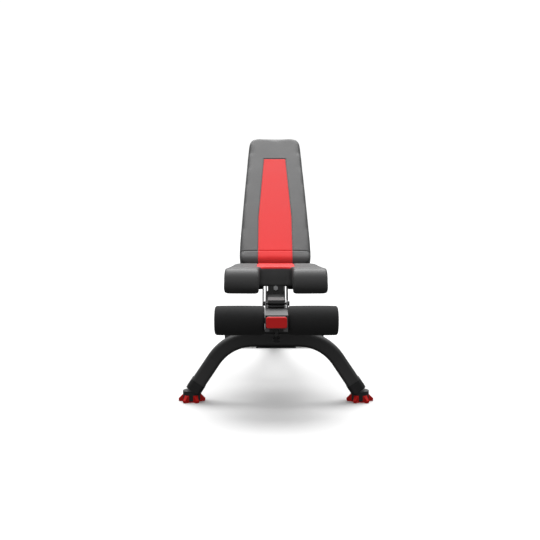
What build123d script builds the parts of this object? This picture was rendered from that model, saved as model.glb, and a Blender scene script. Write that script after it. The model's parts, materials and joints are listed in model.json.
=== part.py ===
"""Adjustable weight bench, millimetres, +Z up, X across, the nose at -Y and the wheels at +Y.

The origin is on the floor at the middle of the bench's outline. Rest is the back at 45 degrees.
"""
from build123d import *
from math import acos, atan2, cos, hypot, radians, sin, sqrt, tan
import os

os.makedirs("parts", exist_ok=True)

SIDES = (("left", -1), ("right", 1))

# ---------------------------------------------------------------- driving sizes
NOSE_REACH = 230.0          # nose cap's upper edge in front of the front feet
NOSE_LEAN = 1.8             # that edge in front of the leaning cap's middle
TAIL_REACH = 1180.0         # back of the wheels behind the front feet
WALL = 2.5                  # tube wall
PLATE = 4.0                 # bracket plate
GAP = 0.3                   # between faces that pass each other
RUN_FIT = 0.05              # radial clearance of a turning or sliding pin

LEG_INSET = 10.0            # leg's end inside the foot's centre
ARCH_END_Z = 45.0           # leg's end, on the leg's centre line
ARCH_SHOULDER_X = 164.5
ARCH_CROWN_Z = 217.0        # centre line of the crown
ARCH_BEND = 165.0
ARCH_HEIGHT = 50.0
ARCH_DEPTH = 60.0
TUBE_CORNER = 10.0
CROWN_PLATE_WIDTH = 136.0
CROWN_PLATE_CORNER = 6.0
CROWN_BOLT_X = 50.0
CROWN_BOLT_Y = 15.0
M10_R = 5.0
M8_R = 4.0
BOLT_HEAD = 7.0

PAD_X = 290.0               # front foot centres
PAD_R = 46.0                # red rubber foot
PAD_RIM = 12.0
PAD_TOP = 24.0
PAD_BASE = 4.0              # rubber under the boot's boss
BOSS_R = 31.0
BOSS_TOP = 37.0
PAD_LOBES = 6
PAD_EDGE = 3.0
PAD_SCALLOP_R = 19.0
PAD_SCALLOP_OUT = 2.0       # scallop centres outside the foot's rim
BOOT_WALL = 2.0
BOOT_GRIP = 26.0            # length of leg inside the boot
BOOT_END = 8.0              # closed end beyond the leg

BEAM_WIDTH = 66.0
BEAM_HEIGHT = 37.0
BEAM_CORNER = 7.0
BEAM_NOSE_Z = 303.0         # centre line at the nose
BEAM_APEX_REACH = 170.0     # behind the front feet
BEAM_APEX_Z = 351.0
BEAM_BEND = 150.0
BEAM_TAIL_INSET = 2.0       # beam's end inside the stabiliser's back
NOSE_CAP_FLANGE = 4.0
NOSE_CAP_PLUG = 25.0

SEAT_TOP = 460.0
SEAT_FOAM = 58.0
SEAT_BOARD = 12.0
SEAT_FRONT_REACH = -10.0    # front of the rolls
SEAT_REAR_REACH = 300.0
SEAT_FRONT_HALF = 180.5
SEAT_REAR_HALF = 156.0
SEAT_CORNER = 35.0
ROLL_R = 45.0
NOTCH_HALF = 59.5
NOTCH_REACH = 110.0
NOTCH_CORNER = 22.0
BOARD_INSET = 14.0
BRACKET_WIDTH = 56.0
SEAT_SCREW_X = 95.0
BRACKET_FRONT_REACH = 112.0
BRACKET_REAR_REACH = 246.0
BRACKET_STRAP = 26.0
BRACKET_STRAP_END = 15.0    # strap beyond its screws
BRACKET_BOLT_DROP = 9.0

HINGE_REACH = 385.0
HINGE_Z = 380.0
REST_ANGLE = 45.0
HINGE_R = 8.0
BUSH_WALL = 3.0
SPACER_WALL = 5.0
HUB_R = 22.0
HINGE_PLATE = 5.0
HINGE_PLATE_FOOT = 50.0     # front end of the plates in front of the hinge

BACK_START = 30.0           # from the hinge line along the pad
BACK_LENGTH = 770.0
BACK_FACE = 80.0            # pad face above the hinge line
BACK_FOAM = 50.0
BACK_BOARD = 12.0
BACK_LOW_HALF = 141.5
BACK_MID_HALF = 130.0
BACK_TOP_HALF = 114.0
BACK_STRAIGHT = 140.0       # parallel lower part
BACK_TOP_CORNER = 40.0
BACK_LOW_CORNER = 46.0
BACK_ROLL = 34.0            # rolled lower edge
RAIL_WIDTH = 25.0
RAIL_HEIGHT = 38.0
RAIL_CORNER = 5.0
RAIL_INNER_X = 50.0
RAIL_START = -18.0
RAIL_REACH = 600.0
CROSS_PLACES = (110.0, 330.0, 560.0)
CROSS_WIDTH = 40.0
CROSS_HALF = 100.0
CROSS_SCREW_X = 87.0
CROSS_CORNER = 8.0
SPREADER_PLACE = 170.0
SPREADER_SIZE = 25.0
SPREADER_WALL = 2.0
RAIL_DROP = 24.0            # rail below the hinge line

SECTOR_HOLE_R = 118.0       # hinge to lock holes
SECTOR_EDGE = 15.0          # plate beyond the lock holes
WINDOW_SPOKE = 14.0         # degrees of plate beside the window at its wide end
WINDOW_TAPER = 12.0         # more degrees at its narrow end
LOCK_ANGLE = 284.0          # direction of the lock pin from the hinge, degrees
BACK_ANGLES = (-10.0, 0.0, 15.0, 30.0, 45.0, 60.0, 75.0, 90.0)
SECTOR_MARGIN = 7.0         # degrees of plate past the last lock holes
LOCK_PIN_R = 5.0
LOCK_HOLE_SLACK = 0.3
LOCK_TRAVEL = 16.0
LOCK_FLANGE_X = 56.0
LOCK_HOUSING_R = 10.0
LOCK_RIM = 5.0              # plate around the pin housing
LOCK_FOOT = 36.0            # length welded to the beam
LOCK_TIP_BACK = 1.5         # pin end outside the sector plate
LOCK_HOUSING = 28.0
KNOB_R = 16.0
KNOB_LENGTH = 25.0

BRACE_START = 8.0           # behind the beam's nose end
BRACE_LENGTH = 122.0
BRACE_PLATE = 3.0
BRACE_SIDE_GAP = 0.4
HOOK_HALF = 27.0
HOOK_LIP = 14.0             # hook around the cross bolt
HOOK_FOOT = 44.0            # hook's foot behind the cross bolt
EAR_BOLT_DROP = 10.0        # cross bolt below the ears' upper edge
EAR_SLOPE = 18.0            # length of the rise in front of the ears
EAR_CHAMFER = 8.0
BRACE_LIP = 14.0
BRACE_LIP_DROP = 13.0
BRACE_TAPER = 26.0          # length of the rising rear end of the sides
PIN_STRAP = 36.0            # strap that carries the pull pin
EAR_RISE = 26.0
EAR_LENGTH = 34.0
ROLLER_REACH = -160.0
ROLLER_Z = 301.0
ROLLER_R = 47.5
ROLLER_INNER_GAP = 1.0      # between the brace and the roller
ROLLER_OUTER_X = 197.5
AXLE_R = 10.0
AXLE_INSET = 9.0            # axle end inside the foam's outer end
SCREW_HEAD = 5.0
SCREW_BORE = 30.0
WASHER_R = 15.0
WASHER = 2.0
CORE_WALL = 3.0
CORE_FLANGE_R = 28.0
CORE_FLANGE = 2.5
FOAM_CORNER = 8.0
BRACE_PIN_S = 66.0          # along the beam from its nose end
BRACE_PIN_R = 4.0
BRACE_PIN_TRAVEL = 16.0
BRACE_HOUSING = 14.0
BRACE_KNOB_R = 12.0
BRACE_KNOB_LENGTH = 16.0

STAB_SIZE = 50.0
STAB_HALF = 238.0
STAB_LOW_Z = 24.0
WHEEL_CLEAR = 4.0           # between the wheels and the stabiliser
CAP_FACE = 5.0
CAP_PLUG = 12.0
FOOT_STRAIGHT = 0.7         # share of the rear foot's height below its chamfer
REAR_FOOT_X = 215.0
REAR_FOOT_R = 24.0
WHEEL_X = 150.0
WHEEL_R = 28.0
WHEEL_WIDTH = 22.0
WHEEL_Z = 38.0
WHEEL_BOLT_R = 4.0
WHEEL_HUB_R = 17.0
TYRE_EDGE = 4.0
FORK_NOSE_R = 11.0
FORK_ROOT = 34.0            # height of the fork plates where they meet the tube
FORK_ROOT_DEPTH = 8.0
WHEEL_SIDE_GAP = 1.0

# ---------------------------------------------------------------- datum planes
FEET_Y = (NOSE_REACH - TAIL_REACH) / 2
ARCH_END_X = PAD_X - LEG_INSET
STAB_REACH = TAIL_REACH - 2 * WHEEL_R - WHEEL_CLEAR - STAB_SIZE / 2
BEAM_TAIL_REACH = STAB_REACH + STAB_SIZE / 2 - BEAM_TAIL_INSET


def fore(reach):
    """Y of a place that many millimetres behind the front feet."""
    return FEET_Y + reach


NOSE_ANGLE = atan2(BEAM_APEX_Z - BEAM_NOSE_Z, BEAM_APEX_REACH + NOSE_REACH - NOSE_LEAN - NOSE_CAP_FLANGE)
# the beam behind the apex falls just enough for its underside to meet the rear stabiliser
fall_height = BEAM_APEX_Z - STAB_LOW_Z - STAB_SIZE
fall_run = STAB_REACH - BEAM_APEX_REACH
FALL_ANGLE = acos(BEAM_HEIGHT / 2 / hypot(fall_height, fall_run)) - atan2(fall_run, fall_height)
NOSE_Y = fore(NOSE_CAP_FLANGE + NOSE_LEAN - NOSE_REACH)
APEX_Y = fore(BEAM_APEX_REACH)
# sketches on these planes run along the beam (first number) and square to it (second)
nose_side = Plane((0, NOSE_Y, BEAM_NOSE_Z), x_dir=(0, cos(NOSE_ANGLE), sin(NOSE_ANGLE)), z_dir=(1, 0, 0))
tail_side = Plane((0, APEX_Y, BEAM_APEX_Z), x_dir=(0, cos(FALL_ANGLE), -sin(FALL_ANGLE)), z_dir=(1, 0, 0))
HINGE_Y = fore(HINGE_REACH)
back_side = Plane(
    (0, HINGE_Y, HINGE_Z),
    x_dir=(0, cos(radians(REST_ANGLE)), sin(radians(REST_ANGLE))),
    z_dir=(1, 0, 0),
)


def beam_axis_z(y):
    """Height of the beam's centre line at a given Y."""
    if y < APEX_Y:
        return BEAM_NOSE_Z + (y - NOSE_Y) * tan(NOSE_ANGLE)
    return BEAM_APEX_Z - (y - APEX_Y) * tan(FALL_ANGLE)


def beam_top_z(y):
    """Height of the beam's upper face at a given Y."""
    slope = NOSE_ANGLE if y < APEX_Y else FALL_ANGLE
    return beam_axis_z(y) + BEAM_HEIGHT / 2 / cos(slope)


def beam_under_z(y):
    """Height of the beam's lower face at a given Y."""
    slope = NOSE_ANGLE if y < APEX_Y else FALL_ANGLE
    return beam_axis_z(y) - BEAM_HEIGHT / 2 / cos(slope)


def polar(radius, angle):
    """Point at a radius and an angle in degrees."""
    return (radius * cos(radians(angle)), radius * sin(radians(angle)))


def on_plane(plane, y, z):
    """Local numbers, on a side plane, of a point given by its Y and Z."""
    local = plane.to_local_coords(Vector(0, y, z))
    return (local.X, local.Y)


def hex_bolt(plane, radius, length):
    """Bolt whose head stands on the plane and whose shank goes that far below it."""
    across = radius * 1.75
    with BuildPart() as bolt:
        with BuildSketch(plane):
            RegularPolygon(across, 6)
        extrude(amount=radius * 1.2)
        with BuildSketch(plane):
            Circle(radius)
        extrude(amount=-length)
    return bolt.part


# ---------------------------------------------------------------- front legs
crown_top = ARCH_CROWN_Z + ARCH_HEIGHT / 2
crown_under = ARCH_CROWN_Z - ARCH_HEIGHT / 2
arch_face = Plane.XZ.offset(-FEET_Y)

with BuildPart() as front_arch:
    with BuildLine(arch_face):
        arch_line = FilletPolyline(
            (-ARCH_END_X, ARCH_END_Z),
            (-ARCH_SHOULDER_X, ARCH_CROWN_Z),
            (ARCH_SHOULDER_X, ARCH_CROWN_Z),
            (ARCH_END_X, ARCH_END_Z),
            radius=ARCH_BEND,
        )
    with BuildSketch(Plane(arch_line @ 0, x_dir=(0, 1, 0), z_dir=arch_line % 0)):
        RectangleRounded(ARCH_DEPTH, ARCH_HEIGHT, TUBE_CORNER)
        RectangleRounded(
            ARCH_DEPTH - 2 * WALL, ARCH_HEIGHT - 2 * WALL, TUBE_CORNER - WALL, mode=Mode.SUBTRACT
        )
    sweep(path=arch_line)
    with BuildSketch(Plane.XY.offset(crown_under - 1)):
        with Locations((0, FEET_Y)):
            with GridLocations(2 * CROWN_BOLT_X, 2 * CROWN_BOLT_Y, 2, 2):
                Circle(M10_R + GAP)
    extrude(amount=ARCH_HEIGHT + 2, mode=Mode.SUBTRACT)
front_arch.part.label = "front_arch"
export_step(front_arch.part, "parts/front_arch.step")

with BuildPart() as crown_plate:
    with BuildSketch(Plane.XY.offset(crown_under - PLATE)):
        with Locations((0, FEET_Y)):
            RectangleRounded(CROWN_PLATE_WIDTH, ARCH_DEPTH, CROWN_PLATE_CORNER)
            with GridLocations(2 * CROWN_BOLT_X, 2 * CROWN_BOLT_Y, 2, 2):
                Circle(M10_R, mode=Mode.SUBTRACT)
    extrude(amount=PLATE)
crown_plate.part.label = "crown_plate"
export_step(crown_plate.part, "parts/crown_plate.step")

with BuildPart() as crown_bolts:
    for x in (-CROWN_BOLT_X, CROWN_BOLT_X):
        for y in (-CROWN_BOLT_Y, CROWN_BOLT_Y):
            seat = Plane((x, FEET_Y + y, crown_top + PLATE), z_dir=(0, 0, 1))
            add(hex_bolt(seat, M10_R, ARCH_HEIGHT + 2 * PLATE))
crown_bolts.part.label = "crown_bolts"
export_step(crown_bolts.part, "parts/crown_bolts.step")

riser_half = ARCH_DEPTH / 2
with BuildPart() as riser:
    with BuildSketch(Plane.YZ):
        for inset, mode in ((0, Mode.ADD), (WALL, Mode.SUBTRACT)):
            front = FEET_Y - riser_half + inset
            rear = FEET_Y + riser_half - inset
            with BuildLine():
                Polyline(
                    (front, crown_top),
                    (rear, crown_top),
                    (rear, beam_under_z(rear)),
                    (front, beam_under_z(front)),
                    close=True,
                )
            make_face(mode=mode)
    extrude(amount=riser_half, both=True)
    with BuildSketch(Plane.XY.offset(crown_top)):
        with Locations((0, FEET_Y)):
            RectangleRounded(CROWN_PLATE_WIDTH, ARCH_DEPTH, CROWN_PLATE_CORNER)
            with GridLocations(2 * CROWN_BOLT_X, 2 * CROWN_BOLT_Y, 2, 2):
                Circle(M10_R + GAP, mode=Mode.SUBTRACT)
    extrude(amount=PLATE)
riser.part.label = "riser"
export_step(riser.part, "parts/riser.step")

leg_tilt = atan2(ARCH_CROWN_Z - ARCH_END_Z, ARCH_END_X - ARCH_SHOULDER_X)
for side, sign in SIDES:
    leg_end = Plane(
        (sign * ARCH_END_X, FEET_Y, ARCH_END_Z),
        x_dir=(0, 1, 0),
        z_dir=(-sign * cos(leg_tilt), 0, sin(leg_tilt)),
    )
    with BuildPart() as boot:
        with BuildSketch(leg_end.offset(-BOOT_END)):
            RectangleRounded(
                ARCH_DEPTH + 2 * BOOT_WALL, ARCH_HEIGHT + 2 * BOOT_WALL, TUBE_CORNER + BOOT_WALL
            )
        extrude(amount=BOOT_END + BOOT_GRIP)
        split(bisect_by=Plane.XY.offset(PAD_TOP), keep=Keep.TOP)
        with BuildSketch(Plane.XY.offset(PAD_BASE)):
            with Locations((sign * PAD_X, FEET_Y)):
                Circle(BOSS_R)
        extrude(amount=BOSS_TOP - PAD_BASE)
        with BuildSketch(leg_end):
            RectangleRounded(ARCH_DEPTH, ARCH_HEIGHT, TUBE_CORNER)
        extrude(amount=2 * BOOT_GRIP, mode=Mode.SUBTRACT)
    boot.part.label = f"boot_{side}"
    export_step(boot.part, f"parts/boot_{side}.step")

    with BuildPart() as pad:
        with BuildSketch(Plane.XZ.offset(-FEET_Y)):
            with BuildLine():
                Polyline(
                    (sign * PAD_X, 0),
                    (sign * PAD_X + PAD_R - PAD_EDGE, 0),
                    (sign * PAD_X + PAD_R, PAD_EDGE),
                    (sign * PAD_X + PAD_R, PAD_RIM - PAD_EDGE),
                    (sign * PAD_X + PAD_R - PAD_EDGE, PAD_RIM),
                    (sign * PAD_X + BOSS_R, PAD_TOP),
                    (sign * PAD_X, PAD_TOP),
                    close=True,
                )
            make_face()
        revolve(axis=Axis((sign * PAD_X, FEET_Y, 0), (0, 0, 1)))
        with BuildSketch(Plane((sign * PAD_X, FEET_Y, 0), z_dir=(0, 0, 1))):
            with PolarLocations(PAD_R + PAD_SCALLOP_OUT, PAD_LOBES, start_angle=-90):
                Circle(PAD_SCALLOP_R)
        extrude(amount=PAD_TOP, mode=Mode.SUBTRACT)
        with BuildSketch(Plane.XY.offset(PAD_BASE)):
            with Locations((sign * PAD_X, FEET_Y)):
                Circle(BOSS_R)
        extrude(amount=PAD_TOP, mode=Mode.SUBTRACT)
    pad.part.label = f"front_foot_{side}"
    export_step(pad.part, f"parts/front_foot_{side}.step")

# ---------------------------------------------------------------- main beam
tail_y = fore(BEAM_TAIL_REACH)
bore_width = BEAM_WIDTH - 2 * WALL
bore_height = BEAM_HEIGHT - 2 * WALL
bore_corner = BEAM_CORNER - WALL
with BuildPart() as main_beam:
    with BuildLine(Plane.YZ):
        beam_line = FilletPolyline(
            (NOSE_Y, BEAM_NOSE_Z), (APEX_Y, BEAM_APEX_Z), (tail_y, beam_axis_z(tail_y)), radius=BEAM_BEND
        )
    with BuildSketch(Plane(beam_line @ 0, x_dir=(1, 0, 0), z_dir=beam_line % 0)):
        RectangleRounded(BEAM_WIDTH, BEAM_HEIGHT, BEAM_CORNER)
        RectangleRounded(bore_width, bore_height, bore_corner, mode=Mode.SUBTRACT)
    sweep(path=beam_line)
    with BuildSketch(Plane(nose_side.from_local_coords((BRACE_PIN_S, 0, 0)), z_dir=-nose_side.y_dir)):
        Circle(BRACE_PIN_R + 2 * GAP)
    extrude(amount=BEAM_HEIGHT, mode=Mode.SUBTRACT)
    with BuildSketch(Plane.YZ):
        with Locations((fore(STAB_REACH), STAB_LOW_Z + STAB_SIZE / 2)):
            Rectangle(STAB_SIZE, STAB_SIZE)
    extrude(amount=BEAM_WIDTH, both=True, mode=Mode.SUBTRACT)
main_beam.part.label = "main_beam"
export_step(main_beam.part, "parts/main_beam.step")

nose_end = Plane((0, NOSE_Y, BEAM_NOSE_Z), x_dir=(1, 0, 0), z_dir=(0, -cos(NOSE_ANGLE), -sin(NOSE_ANGLE)))
with BuildPart() as nose_cap:
    with BuildSketch(nose_end):
        RectangleRounded(BEAM_WIDTH, BEAM_HEIGHT, BEAM_CORNER)
    extrude(amount=NOSE_CAP_FLANGE / 3)
    with BuildSketch(nose_end.offset(NOSE_CAP_FLANGE / 3)):
        RectangleRounded(BEAM_WIDTH, BEAM_HEIGHT, BEAM_CORNER)
    extrude(amount=NOSE_CAP_FLANGE * 2 / 3, taper=40)
    with BuildSketch(nose_end):
        RectangleRounded(bore_width, bore_height, bore_corner)
        RectangleRounded(
            bore_width - 2 * WALL, bore_height - 2 * WALL, bore_corner - WALL, mode=Mode.SUBTRACT
        )
    extrude(amount=-NOSE_CAP_PLUG)
nose_cap.part.label = "nose_cap"
export_step(nose_cap.part, "parts/nose_cap.step")

# hook on the beam that the brace's cross bolt pulls back into
ear_s = BRACE_START + BRACE_LENGTH - EAR_LENGTH / 2
ear_n = BEAM_HEIGHT / 2 + EAR_RISE - EAR_BOLT_DROP
with BuildPart() as brace_hook:
    with BuildSketch(nose_side):
        with BuildLine():
            Polyline(
                (ear_s - M8_R, BEAM_HEIGHT / 2),
                (ear_s + HOOK_FOOT, BEAM_HEIGHT / 2),
                (ear_s + HOOK_FOOT - HOOK_LIP, ear_n + HOOK_LIP),
                (ear_s - HOOK_LIP, ear_n + HOOK_LIP),
                (ear_s - HOOK_LIP, ear_n - 2 * M8_R),
                close=True,
            )
        make_face()
        with Locations((ear_s, ear_n)):
            Circle(M8_R + GAP, mode=Mode.SUBTRACT)
        with Locations((ear_s - HOOK_LIP, ear_n)):
            Rectangle(2 * HOOK_LIP, 2 * (M8_R + GAP), mode=Mode.SUBTRACT)
    extrude(amount=HOOK_HALF, both=True)
brace_hook.part.label = "brace_hook"
export_step(brace_hook.part, "parts/brace_hook.step")

# ---------------------------------------------------------------- leg brace
brace_end = BRACE_START + BRACE_LENGTH
inner_x = BEAM_WIDTH / 2 + BRACE_SIDE_GAP
outer_x = inner_x + BRACE_PLATE
beam_half = BEAM_HEIGHT / 2
lip_n = -beam_half - BRACE_LIP_DROP
ear_start = brace_end - EAR_LENGTH
with BuildPart() as leg_brace:
    with BuildSketch(nose_side):
        with BuildLine():
            Polyline(
                (BRACE_START, beam_half + BRACE_PLATE),
                (ear_start - EAR_SLOPE, beam_half + BRACE_PLATE),
                (ear_start, beam_half + EAR_RISE),
                (brace_end - EAR_CHAMFER, beam_half + EAR_RISE),
                (brace_end, beam_half + EAR_RISE - EAR_CHAMFER),
                (brace_end, EAR_CHAMFER - beam_half),
                (brace_end - BRACE_TAPER, lip_n),
                (BRACE_START, lip_n),
                close=True,
            )
        make_face()
    extrude(amount=outer_x, both=True)
    with BuildSketch(nose_side):
        with BuildLine():
            Polyline(
                (0, -beam_half - GAP),
                (0, beam_half + GAP),
                (2 * brace_end, beam_half + GAP),
                (2 * brace_end, -beam_half - GAP),
                close=True,
            )
        make_face()
        with BuildLine():
            Polyline(
                (ear_start - EAR_SLOPE, beam_half + BRACE_PLATE),
                (ear_start - EAR_SLOPE, 2 * beam_half + EAR_RISE),
                (2 * brace_end, 2 * beam_half + EAR_RISE),
                (2 * brace_end, 0),
                (ear_start, 0),
                (ear_start, beam_half + BRACE_PLATE),
                close=True,
            )
        make_face()
    extrude(amount=inner_x, both=True, mode=Mode.SUBTRACT)
    with BuildSketch(nose_side):
        with BuildLine():
            Polyline(
                (0, -beam_half), (brace_end, -beam_half), (brace_end, 2 * lip_n), (0, 2 * lip_n), close=True
            )
        make_face()
    extrude(amount=outer_x - BRACE_LIP, both=True, mode=Mode.SUBTRACT)
    with BuildSketch(nose_side):
        with Locations((BRACE_PIN_S, lip_n - BRACE_PLATE / 2)):
            Rectangle(PIN_STRAP, BRACE_PLATE)
    extrude(amount=outer_x, both=True)
    with BuildSketch(Plane(nose_side.from_local_coords((BRACE_PIN_S, 0, 0)), z_dir=-nose_side.y_dir)):
        Circle(BRACE_PIN_R + RUN_FIT)
    extrude(amount=3 * BEAM_HEIGHT, mode=Mode.SUBTRACT)
    with BuildSketch(nose_side):
        with Locations((ear_s, ear_n)):
            Circle(M8_R)
    extrude(amount=2 * outer_x, both=True, mode=Mode.SUBTRACT)
leg_brace.part.label = "leg_brace"
export_step(leg_brace.part, "parts/leg_brace.step")

with BuildPart() as brace_cross_bolt:
    with BuildSketch(nose_side.offset(-outer_x)):
        with Locations((ear_s, ear_n)):
            Circle(M8_R)
    extrude(amount=2 * outer_x)
    for offset, direction in ((outer_x, 1), (-outer_x, -1)):
        with BuildSketch(nose_side.offset(offset)):
            with Locations((ear_s, ear_n)):
                RegularPolygon(2 * M8_R, 6)
        extrude(amount=direction * BOLT_HEAD)
brace_cross_bolt.part.label = "brace_cross_bolt"
export_step(brace_cross_bolt.part, "parts/brace_cross_bolt.step")

roller_inner_x = outer_x + ROLLER_INNER_GAP
axle_end_x = ROLLER_OUTER_X - AXLE_INSET
with BuildPart() as roller_axles:
    for sign in (-1, 1):
        with BuildSketch(Plane.YZ.offset(sign * outer_x)):
            with Locations((fore(ROLLER_REACH), ROLLER_Z)):
                Circle(AXLE_R)
        extrude(amount=sign * (axle_end_x - outer_x))
        with BuildSketch(Plane.YZ.offset(sign * axle_end_x)):
            with Locations((fore(ROLLER_REACH), ROLLER_Z)):
                Circle(M8_R)
        extrude(amount=-sign * SCREW_BORE, mode=Mode.SUBTRACT)
roller_axles.part.label = "roller_axles"
export_step(roller_axles.part, "parts/roller_axles.step")

with BuildPart() as roller_screws:
    for sign in (-1, 1):
        with BuildSketch(Plane.YZ.offset(sign * axle_end_x)):
            with Locations((fore(ROLLER_REACH), ROLLER_Z)):
                Circle(WASHER_R)
        extrude(amount=sign * WASHER)
        with BuildSketch(Plane.YZ.offset(sign * (axle_end_x + WASHER))):
            with Locations((fore(ROLLER_REACH), ROLLER_Z)):
                Circle(2 * M8_R)
        extrude(amount=sign * SCREW_HEAD, taper=25)
        with BuildSketch(Plane.YZ.offset(sign * axle_end_x)):
            with Locations((fore(ROLLER_REACH), ROLLER_Z)):
                Circle(M8_R)
        extrude(amount=-sign * (SCREW_BORE - WASHER))
roller_screws.part.label = "roller_screws"
export_step(roller_screws.part, "parts/roller_screws.step")

core_r = AXLE_R + RUN_FIT + CORE_WALL
core_end_x = axle_end_x - GAP
inner_flange = (roller_inner_x, roller_inner_x + CORE_FLANGE)
outer_flange = (core_end_x - CORE_FLANGE, core_end_x)
for side, sign in SIDES:
    with BuildPart() as core:
        for start, end, radius in (
            (*inner_flange, CORE_FLANGE_R),
            (inner_flange[1], outer_flange[0], core_r),
            (*outer_flange, CORE_FLANGE_R),
        ):
            with BuildSketch(Plane.YZ.offset(sign * start)):
                with Locations((fore(ROLLER_REACH), ROLLER_Z)):
                    Circle(radius)
                    Circle(AXLE_R + RUN_FIT, mode=Mode.SUBTRACT)
            extrude(amount=sign * (end - start))
    core.part.label = f"roller_core_{side}"
    export_step(core.part, f"parts/roller_core_{side}.step")

    with BuildPart() as foam:
        with BuildSketch(Plane.YZ.offset(sign * roller_inner_x)):
            with Locations((fore(ROLLER_REACH), ROLLER_Z)):
                Circle(ROLLER_R)
                Circle(core_r, mode=Mode.SUBTRACT)
        extrude(amount=sign * (ROLLER_OUTER_X - roller_inner_x))
        fillet(foam.edges().filter_by(GeomType.CIRCLE).group_by(SortBy.RADIUS)[-1], radius=FOAM_CORNER)
        for start, end in (inner_flange, (outer_flange[0], ROLLER_OUTER_X)):
            with BuildSketch(Plane.YZ.offset(sign * start)):
                with Locations((fore(ROLLER_REACH), ROLLER_Z)):
                    Circle(CORE_FLANGE_R)
            extrude(amount=sign * (end - start), mode=Mode.SUBTRACT)
    foam.part.label = f"roller_foam_{side}"
    export_step(foam.part, f"parts/roller_foam_{side}.step")

# pull pin under the brace, held out at rest; its travel takes it up into the beam
pin_down = Plane(nose_side.from_local_coords((BRACE_PIN_S, 0, 0)), x_dir=(1, 0, 0), z_dir=-nose_side.y_dir)
brace_floor = -lip_n + BRACE_PLATE
pin_tip = beam_half + GAP + WALL
with BuildPart() as brace_pin_housing:
    with BuildSketch(pin_down.offset(brace_floor)):
        RegularPolygon(2.25 * BRACE_PIN_R, 6)
        Circle(BRACE_PIN_R + RUN_FIT, mode=Mode.SUBTRACT)
    extrude(amount=BRACE_HOUSING)
brace_pin_housing.part.label = "brace_pin_housing"
export_step(brace_pin_housing.part, "parts/brace_pin_housing.step")

knob_face = brace_floor + BRACE_HOUSING + GAP + BRACE_PIN_TRAVEL
with BuildPart() as brace_pin:
    with BuildSketch(pin_down.offset(pin_tip)):
        Circle(BRACE_PIN_R)
    extrude(amount=knob_face + BRACE_KNOB_LENGTH / 2 - pin_tip)
brace_pin.part.label = "brace_pin"
export_step(brace_pin.part, "parts/brace_pin.step")

with BuildPart() as brace_knob:
    with BuildSketch(pin_down.offset(knob_face)):
        Circle(BRACE_KNOB_R * 0.7)
    extrude(amount=BRACE_KNOB_LENGTH / 4)
    with BuildSketch(pin_down.offset(knob_face + BRACE_KNOB_LENGTH / 4)):
        Circle(BRACE_KNOB_R)
    extrude(amount=BRACE_KNOB_LENGTH * 3 / 4)
    fillet(brace_knob.edges().filter_by(GeomType.CIRCLE).sort_by(Axis.Z)[0], radius=3)
    with BuildSketch(pin_down.offset(knob_face)):
        Circle(BRACE_PIN_R)
    extrude(amount=BRACE_KNOB_LENGTH / 2, mode=Mode.SUBTRACT)
brace_knob.part.label = "brace_knob"
export_step(brace_knob.part, "parts/brace_knob.step")

# ---------------------------------------------------------------- rear stabiliser and wheels
stab_y = fore(STAB_REACH)
stab_z = STAB_LOW_Z + STAB_SIZE / 2
stab_bore = STAB_SIZE - 2 * WALL
with BuildPart() as rear_stabiliser:
    with BuildSketch(Plane.YZ):
        with Locations((stab_y, stab_z)):
            RectangleRounded(STAB_SIZE, STAB_SIZE, TUBE_CORNER)
            RectangleRounded(stab_bore, stab_bore, TUBE_CORNER - WALL, mode=Mode.SUBTRACT)
    extrude(amount=STAB_HALF, both=True)
rear_stabiliser.part.label = "rear_stabiliser"
export_step(rear_stabiliser.part, "parts/rear_stabiliser.step")

for side, sign in SIDES:
    with BuildPart() as end_cap:
        with BuildSketch(Plane.YZ.offset(sign * STAB_HALF)):
            with Locations((stab_y, stab_z)):
                RectangleRounded(STAB_SIZE, STAB_SIZE, TUBE_CORNER)
        extrude(amount=sign * CAP_FACE, taper=30)
        with BuildSketch(Plane.YZ.offset(sign * STAB_HALF)):
            with Locations((stab_y, stab_z)):
                RectangleRounded(stab_bore, stab_bore, TUBE_CORNER - WALL)
        extrude(amount=-sign * CAP_PLUG)
    end_cap.part.label = f"end_cap_{side}"
    export_step(end_cap.part, f"parts/end_cap_{side}.step")

    with BuildPart() as rear_foot:
        with BuildSketch(Plane.XY):
            with Locations((sign * REAR_FOOT_X, stab_y)):
                Circle(REAR_FOOT_R)
        extrude(amount=STAB_LOW_Z * FOOT_STRAIGHT)
        with BuildSketch(Plane.XY.offset(STAB_LOW_Z * FOOT_STRAIGHT)):
            with Locations((sign * REAR_FOOT_X, stab_y)):
                Circle(REAR_FOOT_R)
        extrude(amount=STAB_LOW_Z * (1 - FOOT_STRAIGHT), taper=30)
    rear_foot.part.label = f"rear_foot_{side}"
    export_step(rear_foot.part, f"parts/rear_foot_{side}.step")

wheel_y = fore(TAIL_REACH) - WHEEL_R
fork_x = WHEEL_WIDTH / 2 + WHEEL_SIDE_GAP
with BuildPart() as wheel_forks:
    for side_x in (-WHEEL_X, WHEEL_X):
        for offset in (-fork_x - PLATE, fork_x):
            with BuildSketch(Plane.YZ.offset(side_x + offset)):
                with Locations((wheel_y, WHEEL_Z)):
                    Circle(FORK_NOSE_R)
                with Locations((stab_y + (STAB_SIZE + FORK_ROOT_DEPTH) / 2, stab_z)):
                    Rectangle(FORK_ROOT_DEPTH, FORK_ROOT)
                make_hull()
                with Locations((wheel_y, WHEEL_Z)):
                    Circle(WHEEL_BOLT_R, mode=Mode.SUBTRACT)
                with Locations((stab_y, stab_z)):
                    Rectangle(STAB_SIZE, STAB_SIZE, mode=Mode.SUBTRACT)
            extrude(amount=PLATE)
wheel_forks.part.label = "wheel_forks"
export_step(wheel_forks.part, "parts/wheel_forks.step")

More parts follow.
